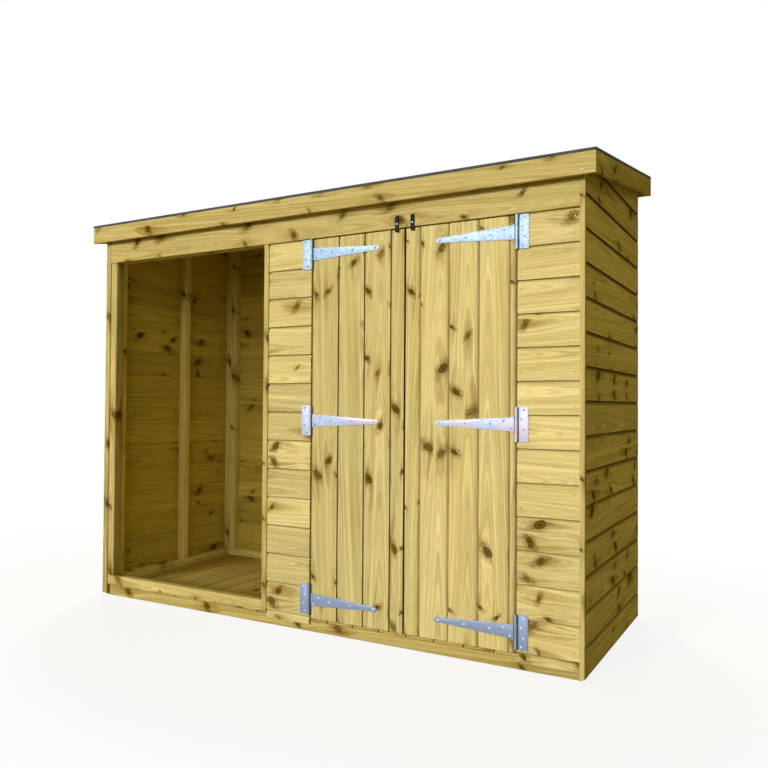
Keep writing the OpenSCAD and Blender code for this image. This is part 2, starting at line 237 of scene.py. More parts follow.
    # colour: pale and deep bands, a green cast in patches, each board its own tone
    depth = wood.math("MULTIPLY_ADD", bands, 0.92, wood.fade(streaks, 0.40, 0.66, 0.0, 0.5))
    colour = wood.mix(depth, pale, deep)
    green = (pale[0] * 0.86, pale[1] * 0.89, pale[2] * 0.80, 1)
    colour = wood.mix(wood.fade(patches, 0.40, 0.72, 0.0, 0.6), colour, green)
    own = wood.fade(tone, 0.0, 1.0, 0.88, 1.05)
    speckle = wood.math("MULTIPLY", own, wood.math("MULTIPLY_ADD", lines, -0.20, 1.10))
    speckle = wood.math("MULTIPLY", speckle, wood.fade(fibres, 0.25, 0.75, 0.84, 1.12))
    flame = wood.math("MULTIPLY", swell, wood.fade(bands, 0.20, 0.80, 0.10, 0.75))
    colour = wood.mix(flame, wood.times(colour, speckle), paint(150, 124, 54))
    stain = wood.math("MULTIPLY", halo, wood.fade(wisps, 0.34, 0.62, 0.18, 0.92))
    colour = wood.mix(stain, colour, paint(108, 83, 22))
    heart = wood.mix(wood.fade(rim, 0.1, 0.9), paint(108, 83, 24), paint(48, 32, 2))
    dark = wood.math("MULTIPLY", core, wood.fade(chance.outputs["Red"], 0.0, 0.6, 0.45, 1.0))
    colour = wood.mix(dark, colour, heart)
    # the laps and joints between boards are darkened: preservative and dirt gather there, and painted
    # shade lies under each lip and down its hollow
    lap_dirt_and_shade = wood.math("MULTIPLY", wood.attribute("lap", "Fac"), 0.85)
    wood.coat("Base Color", wood.mix(lap_dirt_and_shade, colour, paint(80, 58, 12)))

    rough = wood.math("MULTIPLY_ADD", bands, 0.10, 0.62)
    wood.coat("Roughness", wood.math("MULTIPLY_ADD", core, -0.12, rough))
    wood.coat("Specular IOR Level", 0.0)
    height = wood.math("MULTIPLY_ADD", bands, 0.45, wood.math("MULTIPLY", fibres, 0.55))
    wood.bump(wood.math("MULTIPLY_ADD", core, 0.8, height), 0.0007, 0.55)
    return wood.material


def bare_selection():
    """Leave edit mode with nothing selected."""
    if bpy.context.mode != "OBJECT":
        bpy.ops.object.mode_set(mode="OBJECT")
    bpy.ops.object.select_all(action="DESELECT")


def take_up(piece):
    """Select one piece alone."""
    bare_selection()
    piece.select_set(True)
    bpy.context.view_layer.objects.active = piece


def edit_all(piece):
    """Open one piece in edit mode with its whole mesh selected."""
    take_up(piece)
    bpy.ops.object.mode_set(mode="EDIT")
    bpy.ops.mesh.select_all(action="SELECT")


PLAIN_EASE = 0.0012


def sawn_bar(low, high, ease=PLAIN_EASE):
    """A length of timber between two corners, with its arrises eased."""
    low, high = Vector(low), Vector(high)
    bare_selection()
    bpy.ops.mesh.primitive_cube_add(size=1, location=(low + high) / 2)
    bar = bpy.context.object
    bar.scale = high - low
    bpy.ops.object.transform_apply(location=True, rotation=True, scale=True)
    edit_all(bar)
    bpy.ops.mesh.bevel(offset=ease, offset_type="OFFSET", segments=2, affect="EDGES")
    bpy.ops.object.mode_set(mode="OBJECT")
    return bar


cutting_list = random.Random(41)
LOG_LENGTH, LOG_STRIPS = 60, 400


def lay_grain(piece, along, across, tone=None):
    """Give a length of timber its own stretch of grain and its own tone."""
    mesh = piece.data
    count = len(mesh.vertices)
    places = np.empty(count * 3, dtype=np.float32)
    mesh.vertices.foreach_get("co", places)
    places = places.reshape(count, 3)
    order = [along, across, 3 - along - across]
    start = np.array([cutting_list.uniform(0, LOG_LENGTH),
                      cutting_list.randrange(LOG_STRIPS) * BOARD_PITCH - places[:, across].min(),
                      cutting_list.uniform(0, LOG_LENGTH)], dtype=np.float32)
    layer = mesh.attributes.new("grain", "FLOAT_VECTOR", "POINT")
    layer.data.foreach_set("vector", (places[:, order] + start).ravel())
    layer = mesh.attributes.new("tone", "FLOAT", "POINT")
    chosen = cutting_list.random() if tone is None else tone
    layer.data.foreach_set("value", np.full(count, chosen, dtype=np.float32))
    return piece


SMOOTH_ANGLE = math.radians(35)


def put_together(name, parts, finish, slot, body, *nodes):
    """Join the lengths of one group, finish them and hang them on their body."""
    bare_selection()
    for part in parts:
        part.select_set(True)
    bpy.context.view_layer.objects.active = parts[0]
    if len(parts) > 1:
        bpy.ops.object.join()
    piece = bpy.context.object
    piece.name = name
    piece.data.name = name
    piece.data.materials.clear()
    piece.data.materials.append(finish)
    bpy.ops.object.shade_smooth_by_angle(angle=SMOOTH_ANGLE)
    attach(piece, body)
    if nodes:
        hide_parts(*nodes)
    return piece


ALONG_X, ALONG_Y, ALONG_Z = 0, 1, 2

bearer_pine = treated_pine("bearer_pine", paint(204, 184, 120), paint(170, 151, 90), 0.62)

low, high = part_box("floor_bearers")
BEARER_W, SAWN_EASE = 0.047, 0.002
bearers = []
for i in range(3):
    y = low.y + i * (high.y - low.y - BEARER_W) / 2
    bar = sawn_bar((low.x, y, low.z), (high.x, y + BEARER_W, high.z), SAWN_EASE)
    bearers.append(lay_grain(bar, ALONG_X, ALONG_Z))
put_together("ground_bearers", bearers, bearer_pine, "frame_timber", "store", "floor_bearers")


# Floor boards
# Sawn boards run from front to back, laid edge to edge and nailed down to each bearer.
# Their eased edges leave grooves, darkened with dirt and painted shade, and their ends show as a notched
# row along the front.
floor_pine = treated_pine("floor_pine", paint(206, 184, 114), paint(176, 156, 86), 0.3)

FLOOR_TOP = 0.056
FLOOR_START, FLOOR_JOINTS = -1.0895, 19
JOINT_EASE = 0.0045


def mark_laps(board, share):
    """Note at each point how much of the joints' dirt and painted shade lies on it, from 0 to 1."""
    layer = board.data.attributes.new("lap", "FLOAT", "POINT")
    for point, vertex in zip(layer.data, board.data.vertices):
        point.value = share(vertex.co)


low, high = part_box("floor_deck")
floor_joints = [low.x] + [FLOOR_START + i * BOARD_PITCH for i in range(FLOOR_JOINTS)] + [high.x]
floor_joints = [x for x in floor_joints if low.x <= x <= high.x]
floor_spans = list(zip(floor_joints, floor_joints[1:]))
boards = []
for left, right in floor_spans:
    board = sawn_bar((left, low.y, low.z), (right, high.y, high.z), JOINT_EASE)
    # dirt and painted shade in the grooves between floor boards
    mark_laps(board, lambda at: 1.0 if min(at.x - left, right - at.x) < JOINT_EASE / 2 else 0.0)
    boards.append(lay_grain(board, ALONG_Y, ALONG_X))
put_together("floor_boards", boards, floor_pine, "floor_and_roof_boards", "store", "floor_deck")


HEAD_SIDES = 10
# shares of a head's height and of its radius
HEAD_EASE, RECESS_RIM = 0.4, 0.42


def driven_heads(name, places, facing, radius, proud, finish, slot, body, recess=0.0):
    """Heads of nails or screws: one is turned, eased and recessed, then copied from place to place."""
    facing = Vector(facing)
    bare_selection()
    turn = facing.to_track_quat("Z", "Y").to_euler()
    bpy.ops.mesh.primitive_cylinder_add(vertices=HEAD_SIDES, radius=radius, depth=proud,
                                        location=places[0], rotation=turn)
    row = bpy.context.object
    bpy.ops.object.transform_apply(location=True, rotation=True, scale=True)
    edit_all(row)
    bpy.ops.mesh.bevel(offset=proud * HEAD_EASE, offset_type="OFFSET", segments=1, affect="EDGES")
    if recess:
        bpy.ops.object.mode_set(mode="OBJECT")
        for face in row.data.polygons:
            face.select = face.normal.dot(facing.normalized()) > 0.99
        bpy.ops.object.mode_set(mode="EDIT")
        bpy.ops.mesh.inset(thickness=radius * RECESS_RIM, depth=-recess)
    bpy.ops.mesh.select_all(action="SELECT")
    for here, there in zip(places, places[1:]):
        bpy.ops.mesh.duplicate_move(TRANSFORM_OT_translate={"value": there - here})
    bpy.ops.object.mode_set(mode="OBJECT")
    return put_together(name, [row], finish, slot, body)


nail_steel = Finish("nail_steel")
rust = nail_steel.noise(nail_steel.place(), 180, 3, 0.6)
rusty = nail_steel.mix(nail_steel.fade(rust, 0.35, 0.7), paint(186, 182, 164), paint(104, 90, 60))
nail_steel.coat("Base Color", rusty)
nail_steel.coat("Roughness", nail_steel.math("MULTIPLY_ADD", rust, 0.3, 0.4))
nail_steel.coat("Metallic", 0.4)
NAIL_R, NAIL_PROUD = 0.0028, 0.0008


def nail_heads(name, places, facing, body="store"):
    """Heads of wire nails that stand a little proud of the timber."""
    driven_heads(name, places, facing, NAIL_R, NAIL_PROUD, nail_steel.material, "galvanised_steel", body)


NAIL_INSET, NARROWEST_NAILED = 0.025, 0.06
FLOOR_NAIL_ROWS = (-0.430, 0.0, 0.385)
places = []
for left, right in floor_spans:
    if right - left > NARROWEST_NAILED:
        for y in FLOOR_NAIL_ROWS:
            places += [Vector((x, y, FLOOR_TOP)) for x in (left + NAIL_INSET, right - NAIL_INSET)]
nail_heads("floor_nails", places, (0, 0, 1))


# Wall frames
# Studs stand between a bottom rail on the floor and a top rail that slopes with the roof.
# They are sawn to one size, and the walls are nailed up flat before they are stood in place.
ROOF_PITCH = math.radians(9.3)
ROOF_FRONT = Vector((0, -0.513, 1.827))
ROOF_NORMAL = Vector((0, -math.sin(ROOF_PITCH), math.cos(ROOF_PITCH)))
ROOF_CLEAR = 0.0001


def roof_height(y):
    """Height of the roof boards' underside."""
    return ROOF_FRONT.z + (y - ROOF_FRONT.y) * math.tan(ROOF_PITCH)


def cut_off(piece, point, normal):
    """Saw off all that lies beyond a plane, on the side that its normal points to."""
    edit_all(piece)
    bpy.ops.mesh.bisect(plane_co=point, plane_no=normal, use_fill=True, clear_outer=True)
    bpy.ops.object.mode_set(mode="OBJECT")
    return piece


def cut_under_roof(piece, drop=ROOF_CLEAR):
    """Saw a piece off along the roof's slope, a little under the roof boards."""
    return cut_off(piece, ROOF_FRONT - Vector((0, 0, drop)), ROOF_NORMAL)


def drawn_bar(corners, run, ease=0.0):
    """Draw an outline by extruding a corner from point to point, fill it and pull it out to a bar."""
    bare_selection()
    bpy.ops.mesh.primitive_plane_add(size=0.01, location=corners[0])
    bar = bpy.context.object
    edit_all(bar)
    bpy.ops.mesh.merge(type="CENTER")
    for here, there in zip(corners, corners[1:]):
        bpy.ops.mesh.extrude_vertices_move(TRANSFORM_OT_translate={"value": there - here})
    bpy.ops.mesh.select_all(action="SELECT")
    bpy.ops.mesh.edge_face_add()
    bpy.ops.mesh.extrude_region_move(TRANSFORM_OT_translate={"value": run})
    bpy.ops.mesh.select_all(action="SELECT")
    bpy.ops.mesh.normals_make_consistent(inside=False)
    if ease:
        bpy.ops.mesh.bevel(offset=ease, offset_type="OFFSET", segments=2, affect="EDGES")
    bpy.ops.object.mode_set(mode="OBJECT")
    bpy.ops.object.transform_apply(location=True, rotation=True, scale=True)
    return bar


def sloping_bar(x0, x1, y0, y1, under, over, ease=PLAIN_EASE):
    """A length that follows the roof, between two planes measured from the roof boards' underside."""
    corners = [Vector((x0, y0, roof_height(y0) + under)), Vector((x0, y1, roof_height(y1) + under)),
               Vector((x0, y1, roof_height(y1) + over)), Vector((x0, y0, roof_height(y0) + over))]
    return drawn_bar(corners, Vector((x1 - x0, 0, 0)), ease)


# sawn framing is coloured paler than the sawn backs of the cladding, partly a painted light on the studs'
# front edges inside the store
sawn_pine = treated_pine("sawn_pine", paint(240, 223, 162), paint(216, 198, 132), 0.3)
RAIL_H = 0.036
STUD_W = 0.036
RAIL_TOP = FLOOR_TOP + RAIL_H
FRAME_Y = 0.453
INNER_Y = 0.409
FRAME_X = 1.188
INNER_X = 1.144
LEFT_FRONT = -0.421
MID_STUD = 0.032
SEAT = 0.0002
OVERLONG = 2.1


def upright(x0, x1, y0, y1, across):
    """A stud, sawn to the slope of the top rail."""
    bar = sawn_bar((x0, y0, RAIL_TOP), (x1, y1, OVERLONG))
    cut_under_roof(bar, RAIL_H + SEAT)
    return lay_grain(bar, ALONG_Z, across)


def side_frame(side, x_in, x_out, front, back):
    """Studs and rails of a wall that runs from front to back."""
    x0, x1 = min(x_in, x_out), max(x_in, x_out)
    studs = [upright(x0, x1, y, y + STUD_W, ALONG_X) for y in (front, MID_STUD, back - STUD_W)]
    foot = lay_grain(sawn_bar((x0, front, FLOOR_TOP), (x1, back, RAIL_TOP)), ALONG_Y, ALONG_X)
    head = lay_grain(sloping_bar(x0, x1, front, back, -RAIL_H, -SEAT), ALONG_Y, ALONG_X)
    put_together(side + "_studs", studs, sawn_pine, "frame_timber", "store", side + "_wall_studs")
    put_together(side + "_rails", [foot, head], sawn_pine, "frame_timber", "store", side + "_wall_rails")


BAY_RIGHT = -0.203
BAY_LINER = -0.159
side_frame("left", -INNER_X, -FRAME_X, LEFT_FRONT, FRAME_Y)
side_frame("right", INNER_X, FRAME_X, -FRAME_Y, FRAME_Y)
side_frame("bay", BAY_RIGHT, BAY_LINER, -FRAME_Y, INNER_Y)

corner = INNER_X - STUD_W / 2
divider = (BAY_RIGHT + BAY_LINER) / 2
back_stud_places = [-corner, (divider - corner) / 2]
back_stud_places += [divider + i * (corner - divider) / 3 for i in range(4)]
half = STUD_W / 2
studs = [upright(x - half, x + half, INNER_Y, FRAME_Y, ALONG_X) for x in back_stud_places]
put_together("back_studs", studs, sawn_pine, "frame_timber", "store", "back_wall_studs")
foot = sawn_bar((-INNER_X, INNER_Y, FLOOR_TOP), (INNER_X, FRAME_Y, RAIL_TOP))
lay_grain(foot, ALONG_X, ALONG_Y)
head = sloping_bar(-INNER_X, INNER_X, INNER_Y, FRAME_Y, -RAIL_H, -SEAT)
lay_grain(head, ALONG_X, ALONG_Y)
put_together("back_rails", [foot, head], sawn_pine, "frame_timber", "store", "back_wall_rails")


# Wall cladding
# Shiplap boards, planed outside and sawn inside: each one's lip hangs over the hollowed top edge of
# the board below it. The side and back walls are clad from the skirt up and cut to the roof's slope.
CLAD_T, LIP_EASE = 0.012, 0.001
TONGUE_H, TONGUE_T = 0.008, 0.006
REBATE_H, REBATE_T = 0.0095, 0.0057
planed_pine = treated_pine("planed_pine", paint(234, 217, 162), paint(200, 184, 122), 0.52)
# the sawn inside faces are coloured darker and yellower than the planed outside, partly a painted shade
# for the store's inside
sawn_backs = treated_pine("sawn_backs", paint(212, 191, 104), paint(182, 164, 78), 0.45)


def shiplap_outline(width):
    """Half-lapped outline as pairs: height above the lip, and depth behind the face."""
    hollow = [(0.0185, 0.0), (0.0165, 0.0004), (0.0135, 0.0016)]
    hollow += [(0.0095, 0.0036), (0.0055, 0.0053), (0.0, TONGUE_T)]
    outline = [(0.0, LIP_EASE), (LIP_EASE, 0.0)]
    outline += [(width - drop, depth) for drop, depth in hollow]
    outline += [(width + TONGUE_H, TONGUE_T), (width + TONGUE_H, CLAD_T)]
    outline += [(REBATE_H, CLAD_T), (REBATE_H, REBATE_T), (0.0, REBATE_T)]
    return outline


def shiplap_board(start, up, into, run, width, shade):
    """One board: its lap's dirt and painted shade reach down its hollow for the given way."""
    corners = [start + up * w + into * d for w, d in shiplap_outline(width)]
    board = drawn_bar(corners, run)

    def share(at):
        above_lip = (at - start).dot(up)
        if (at - start).dot(into) > CLAD_T - LIP_EASE:
            return 0.0
        if above_lip < LIP_EASE / 2:
            return 1.0
        return max(0.0, min(1.0, 1 - (width - above_lip) / shade)) ** 0.5

    mark_laps(board, share)
    return board


def copied(piece, move):
    """A copy of a piece with a mesh of its own, moved aside."""
    take_up(piece)
    bpy.ops.object.duplicate(linked=False)
    bpy.ops.transform.translate(value=move)
    bpy.ops.object.transform_apply(location=True, rotation=True, scale=True)
    return bpy.context.object


def finish_backs(piece, into, finish):
    """Give the faces that look into the store a finish of their own."""
    piece.data.materials.append(finish)
    for face in piece.data.polygons:
        if face.normal.dot(into) > 0.9:
            face.material_index = 1


WALL_SHADE = 0.0175


def clad(name, node, start, into, run, first_line, foot, head, along, shade=WALL_SHADE):
    """Board up one wall from the first lip line to the roof, or to a level head."""
    up = Vector((0, 0, 1))
    roof_ends = [roof_height(y) for y in (start.y, start.y + run.y)]
    top = max(roof_ends) if head is None else head
    count = math.ceil((top - first_line) / BOARD_PITCH)
    first = shiplap_board(Vector((start.x, start.y, first_line)), up, into, run, BOARD_PITCH, shade)
    boards = [first] + [copied(first, up * (k * BOARD_PITCH)) for k in range(1, count)]
    for k, board in enumerate(boards):
        line = first_line + k * BOARD_PITCH
        reach = line + BOARD_PITCH + TONGUE_H + LIP_EASE
        if line < foot:
            cut_off(board, (0, 0, foot), (0, 0, -1))
        if head is not None and reach > head:
            cut_off(board, (0, 0, head), (0, 0, 1))
        if head is None and reach > min(roof_ends):
            cut_under_roof(board)
        lay_grain(board, along, ALONG_Z)
    wall = put_together(name, boards, planed_pine, "cladding_boards", "store", node)
    finish_backs(wall, into, sawn_backs)


NAIL_RISES, EAVES_CLEAR = (0.030, 0.090), 0.02
SKIRT, SKIRT_CLEAR = 0.010, 0.01


def wall_nails(name, facing, lines, uprights, limit):
    """Two nails through each board into each stud: uprights are points on the face at ground level."""
    places = []
    for foot in uprights:
        for line in lines:
            for rise in NAIL_RISES:
                if SKIRT + SKIRT_CLEAR < line + rise < limit(foot):
                    places.append(foot + Vector((0, 0, line + rise)))
    nail_heads(name, places, facing)


WALL_X, BACK_Y = 1.2, 0.465
TOP_LINE, WALL_ROWS = 1.705, 14
WALL_LINE = TOP_LINE - WALL_ROWS * BOARD_PITCH
for side, inward in (("left", 1), ("right", -1)):
    clad(side + "_wall_boards", side + "_wall_cladding", Vector((-inward * WALL_X, -FRAME_Y, 0)),
         Vector((inward, 0, 0)), Vector((0, 2 * FRAME_Y, 0)), WALL_LINE, SKIRT, None, ALONG_Y)
clad("back_wall_boards", "back_wall_cladding", Vector((-WALL_X, BACK_Y, 0)), Vector((0, -1, 0)),
     Vector((2 * WALL_X, 0, 0)), WALL_LINE, SKIRT, None, ALONG_X)
clad("bay_wall_boards", "bay_wall_cladding", Vector((BAY_LINER + CLAD_T, -FRAME_Y, 0)), Vector((-1, 0, 0)),
     Vector((0, FRAME_Y + INNER_Y, 0)), WALL_LINE, FLOOR_TOP, None, ALONG_Y)


def under_eaves(foot):
    """The height up to which a wall can be nailed at a place."""
    return roof_height(foot.y) - EAVES_CLEAR


# three more rows fit above that line, under the roof's high side
wall_lines = [WALL_LINE + k * BOARD_PITCH for k in range(WALL_ROWS + 3)]
for side, x, front in (("left", -WALL_X, LEFT_FRONT), ("right", WALL_X, -FRAME_Y)):
    feet = [Vector((x, y, 0)) for y in (front + half, MID_STUD + half, FRAME_Y - half)]
    wall_nails(side + "_wall_nails", (x, 0, 0), wall_lines, feet, under_eaves)
feet = [Vector((x, BACK_Y, 0)) for x in back_stud_places]
wall_nails("back_wall_nails", (0, 1, 0), wall_lines, feet, under_eaves)


# Front wall
# The log bay is framed by a post, a sill and an edge trim, and two panels of short shiplap boards
# stand beside the doorway. A wide lintel board runs over all of it between the corner trims.
FACE_Y, TRIM_Y = -0.465, -0.470
FORWARD, INWARD = Vector((0, -1, 0)), Vector((0, 1, 0))
DOOR_HEAD = 1.653
low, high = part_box("door_jamb_studs")
jambs = []
for x in (low.x, high.x - STUD_W):
    bar = sawn_bar((x, low.y, low.z), (x + STUD_W, high.y, high.z))
    jambs.append(lay_grain(bar, ALONG_Z, ALONG_Y))
put_together("door_jambs", jambs, sawn_pine, "frame_timber", "store", "door_jamb_studs")

trim_pine = treated_pine("trim_pine", paint(222, 203, 143), paint(192, 175, 110), 0.66)
TRIM_EASE, ARRIS, SPARE = 0.0018, 0.0015, 0.02


def trim(name, node, along, across, tone):
    """One planed board that is cut to length and fixed on the face of the frame."""
    low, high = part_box(node)
    bar = lay_grain(sawn_bar(low, high, TRIM_EASE), along, across, tone)
    put_together(name, [bar], trim_pine, "trim_boards", "store", node)


trim("sill", "bay_sill", ALONG_X, ALONG_Z, 0.75)
trim("post", "bay_post", ALONG_Z, ALONG_X, 0.0)
trim("edge_trim", "bay_edge_trim", ALONG_Z, ALONG_X, 0.7)
low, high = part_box("front_top_rail")
rails = []
for x0, x1 in ((low.x, BAY_RIGHT), (BAY_LINER + CLAD_T, high.x)):
    rails.append(lay_grain(sawn_bar((x0, low.y, low.z), (x1, high.y, high.z)), ALONG_X, ALONG_Y))
put_together("front_head_rails", rails, sawn_pine, "frame_timber", "store", "front_top_rail")

PANEL_FOOT, PANEL_SHADE = 0.032, 0.006
PANEL_ROWS = 14
PANEL_LINE = DOOR_HEAD - PANEL_ROWS * BOARD_PITCH
PANEL_NAILS_LEFT, PANEL_NAILS_RIGHT, HEAD_CLEAR = 0.016, 0.018, 0.01
panel_lines = [PANEL_LINE + k * BOARD_PITCH for k in range(PANEL_ROWS)]
for side in ("middle", "right"):
    low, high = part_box(side + "_front_panel")
    clad(side + "_panel_boards", side + "_front_panel", Vector((low.x, FACE_Y, 0)), INWARD,
         Vector((high.x - low.x, 0, 0)), PANEL_LINE, PANEL_FOOT, DOOR_HEAD, ALONG_X, PANEL_SHADE)
    feet = [Vector((x, FACE_Y, 0)) for x in (low.x + PANEL_NAILS_LEFT, high.x - PANEL_NAILS_RIGHT)]
    wall_nails(side + "_panel_nails", FORWARD, panel_lines, feet, lambda foot: DOOR_HEAD - HEAD_CLEAR)

for name, node, along, across, tone in (("left_corner", "left_corner_trim", ALONG_Z, ALONG_X, 0.2),
                                        ("right_corner", "right_corner_trim", ALONG_Z, ALONG_X, 0.6),
                                        ("lintel", "front_lintel", ALONG_X, ALONG_Z, 0.45)):
    low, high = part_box(node)
    bar = sawn_bar(low, (high.x, high.y, high.z + SPARE), ARRIS)
    cut_under_roof(bar)
    put_together(name, [lay_grain(bar, along, across, tone)], trim_pine, "trim_boards", "store", node)

LINTEL_NAILS_X, LINTEL_NAILS_Z = (-1.155, -0.66, -0.19, 0.027, 0.972, 1.165), (1.672, 1.733)
CORNER_NAILS_X, CORNER_NAILS_Z = (-1.186, 1.191), (0.12, 0.42, 0.72, 1.02, 1.32, 1.60)
EDGE_NAILS_X, EDGE_NAILS_Z = (-0.190,), (0.10, 0.40, 0.70, 1.00, 1.30, 1.60)
places = [Vector((x, TRIM_Y, z)) for x in LINTEL_NAILS_X for z in LINTEL_NAILS_Z]
places += [Vector((x, TRIM_Y, z)) for x in CORNER_NAILS_X for z in CORNER_NAILS_Z]
places += [Vector((x, TRIM_Y, z)) for x in EDGE_NAILS_X for z in EDGE_NAILS_Z]
nail_heads("trim_nails", places, FORWARD)


# Roof
# Battens on edge carry thin boards laid up the slope, and fascia boards close the four edges.
# Two widths of dark mineral felt, lapped and clout-nailed, are folded down over the edges.
low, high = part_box("roof_battens")
BATTEN_H = 0.044
battens = []
for x0, x1 in ((low.x, BAY_RIGHT), (BAY_LINER + CLAD_T, high.x)):
    for y in (-FRAME_Y, MID_STUD):
        bar = sloping_bar(x0, x1, y, y + STUD_W, -BATTEN_H, -SEAT)
        battens.append(lay_grain(bar, ALONG_X, ALONG_Z))
put_together("battens", battens, sawn_pine, "frame_timber", "store", "roof_battens")

ROOF_X, ROOF_Y = 1.248, 0.513
DECK_T, FELT_T, SKIN_GAP = 0.010, 0.002, 0.0003
DECK_GAP, DECK_EASE, LEAST_STRIP = 0.0008, 0.001, 0.01
deck_x, deck_y = ROOF_X - FELT_T, ROOF_Y - FELT_T
deck_boards = []
x = -deck_x
while x < deck_x - LEAST_STRIP:
    edge = min(x + BOARD_PITCH, deck_x)
    bar = sloping_bar(x + DECK_GAP, edge - DECK_GAP, -deck_y, deck_y, 0.0, DECK_T - SKIN_GAP, DECK_EASE)
    deck_boards.append(lay_grain(bar, ALONG_Y, ALONG_X))
    x = edge
put_together("roof_boards", deck_boards, floor_pine, "floor_and_roof_boards", "store", "roof_deck")

FASCIA_H, FASCIA_SPARE = 0.076, 0.01
fascia_pine = treated_pine("fascia_pine", paint(218, 199, 138), paint(186, 169, 105), 0.8)
for name, tone in (("front_fascia", 0.5), ("rear_fascia", 0.4)):
    low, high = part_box(name)
    front = low.y + NAIL_PROUD / 2
    bar = sawn_bar((low.x, front, low.z), (high.x, high.y, high.z + FASCIA_SPARE), ARRIS)
    cut_under_roof(bar)
    put_together(name + "_board", [lay_grain(bar, ALONG_X, ALONG_Z, tone)], fascia_pine,
                 "trim_boards", "store", name)
for name, tone in (("left_fascia", 0.35), ("right_fascia", 0.35)):
    low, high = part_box(name)
    bar = sloping_bar(low.x, high.x, low.y, high.y, -FASCIA_H, -SEAT, ARRIS)
    put_together(name + "_board", [lay_grain(bar, ALONG_Y, ALONG_Z, tone)], fascia_pine,
                 "trim_boards", "store", name)

FASCIA_NAIL_STEP, FASCIA_NAILS_Z = 0.4, (1.768, 1.808)
along_fascia = [-WALL_X + i * FASCIA_NAIL_STEP for i in range(7)]
places = [Vector((x, NAIL_PROUD / 2 - ROOF_Y, z)) for x in along_fascia for z in FASCIA_NAILS_Z]
nail_heads("front_fascia_nails", places, FORWARD)

felt = Finish("mineral_felt")
place = felt.place()
grit = felt.noise(place, 420, 3, 0.7)
blots = felt.noise(place, 9, 3, 0.6)
felt_colour = felt.mix(felt.fade(grit, 0.35, 0.7), paint(52, 56, 60), paint(96, 100, 104))
felt_colour = felt.mix(felt.fade(blots, 0.4, 0.75, 0.0, 0.5), felt_colour, paint(62, 67, 68))
washed = felt.noise(felt.vector("MULTIPLY", place, (5, 1.6, 1.6)), 1.0, 5, 0.7)
felt_colour = felt.mix(felt.fade(washed, 0.40, 0.75, 0.0, 0.32), felt_colour, paint(110, 114, 117))
granules = felt.noise(place, 150, 2, 0.8)
felt_colour = felt.mix(felt.fade(granules, 0.58, 0.72, 0.0, 0.7), felt_colour, paint(130, 134, 137))
felt.coat("Base Color", felt_colour)
felt.coat("Roughness", 0.92)
felt.coat("Specular IOR Level", 0.2)
felt.bump(felt.math("MULTIPLY_ADD", blots, 1.5, grit), 0.0012, 0.7)


def felt_sheet(y0, y1, under, over, fold_front, fold_back):
    """A width of felt laid on the boards, with its outer edges folded down."""
    skin = FELT_T / 2
    outline = []
    if fold_front:
        outline += [(y0, under), (y0, over), (y1, over)]
    else:
        outline += [(y0, over - skin), (y0, over), (y1, over)]
    if fold_back:
        outline += [(y1, under), (y1 - skin, under), (y1 - skin, over - skin)]
    else:
        outline += [(y1, over - skin)]
    if fold_front:
        outline += [(y0 + skin, over - skin), (y0 + skin, under)]
    corners = [Vector((-ROOF_X, y, roof_height(y) + rise)) for y, rise in outline]
    return drawn_bar(corners, Vector((2 * ROOF_X, 0, 0)))


roof_top = DECK_T + FELT_T
FELT_LAP_Y, FELT_LAP, VERGE_GAP = 0.300, 0.075, 0.0004
lower = felt_sheet(-ROOF_Y, FELT_LAP_Y + FELT_LAP, 0.0, roof_top - FELT_T / 2, True, False)
upper = felt_sheet(FELT_LAP_Y, ROOF_Y, 0.0, roof_top - SKIN_GAP, False, True)
verges = []
for side in (-1, 1):
    x0, x1 = sorted((side * ROOF_X, side * (ROOF_X - FELT_T + VERGE_GAP)))
    verges.append(sloping_bar(x0, x1, -ROOF_Y, ROOF_Y, 0.0, roof_top - FELT_T / 2, 0.0))
put_together("roof_felt_sheet", [lower, upper] + verges, felt.material, "roofing_felt", "store",
             "roof_felt")

CLOUT_R, CLOUT_PROUD, CLOUT_STEP = 0.0045, 0.002, 0.1
CLOUT_ROWS, CLOUT_VERGES = (-0.490, FELT_LAP_Y + 0.014, 0.488), (-1.230, 1.230)
across_roof = [-WALL_X + i * CLOUT_STEP for i in range(25)]
up_roof = [-0.4 + i * CLOUT_STEP for i in range(9)]
spots = [(x, y) for y in CLOUT_ROWS for x in across_roof] + [(x, y) for x in CLOUT_VERGES for y in up_roof]
places = [Vector((x, y, roof_height(y) + roof_top)) for x, y in spots]
driven_heads("felt_clout_nails", places, ROOF_NORMAL, CLOUT_R, CLOUT_PROUD, nail_steel.material,
             "galvanised_steel", "store")


# Doors
# Two ledged and braced doors of shiplap boards stood on end, hung as a pair.
# On each door the lips point away from the hinges' side, so the pair looks mirrored.
DOOR_FOOT, DOOR_TOP = 0.061, 1.648
LEDGE_H, LEDGE_T, BRACE_W = 0.070, 0.022, 0.060
HINGE_HEIGHTS = (0.138, 0.885, 1.586)
NAIL_PAIR, WIDE_BOARD = 0.029, 0.1
DOOR_JOINTS = {"left": (0.049, 0.180, 0.304, 0.426, 0.4885),
               "right": (0.4955, 0.5615, 0.6835, 0.8055, 0.9265, 0.950)}
DOOR_SHADE = {"left": 0.0055, "right": 0.010}
# the left door's boards take darker tones than the right door's, partly a painted shade on the left door
DOOR_TONES = {"left": (0.0, 0.45), "right": (0.5, 1.0)}
door_pine = treated_pine("door_pine", paint(232, 215, 160), paint(196, 180, 118), 0.60)
door_backs = treated_pine("door_backs", paint(220, 202, 142), paint(190, 174, 110), 0.5)

